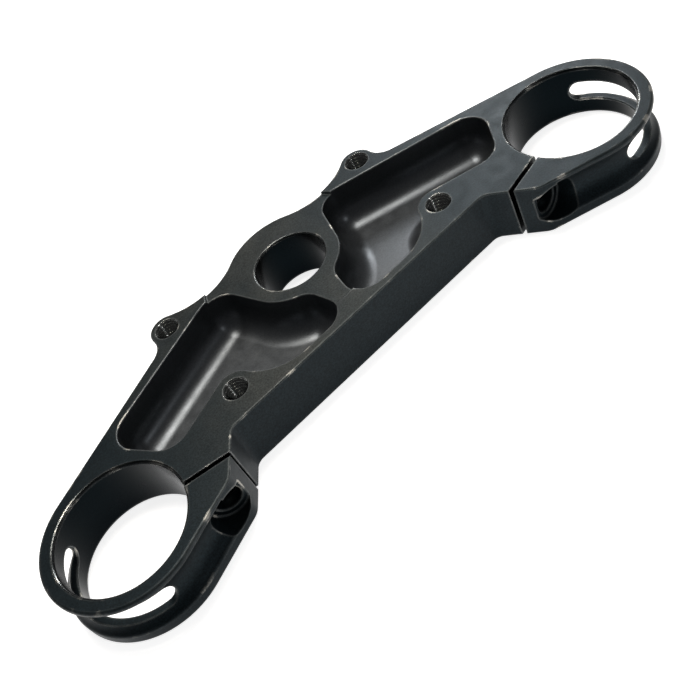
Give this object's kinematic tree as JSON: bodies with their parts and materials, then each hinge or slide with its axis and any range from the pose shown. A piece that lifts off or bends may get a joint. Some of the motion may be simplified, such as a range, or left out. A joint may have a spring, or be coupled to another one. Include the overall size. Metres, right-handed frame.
{
  "type": "motorcycle triple clamp",
  "caption": "Machined fork yoke plate: split, pinched rings grip the fork tubes either side of a steering stem bore, with milled pockets and tapped holes.",
  "frame": {"origin": "axis of the steering stem bore at the flat, unpocketed face", "axes": "+X through the right fork ring's side, along the plate's length; +Y away from the pinch bolts; +Z out of the pocketed face"},
  "size_m": [0.2336, 0.0838, 0.0185],
  "materials": {
    "anodised": "satin black anodised"
  },
  "bodies": {
    "root": {"triple_clamp": "anodised"}
  },
  "joints": []
}
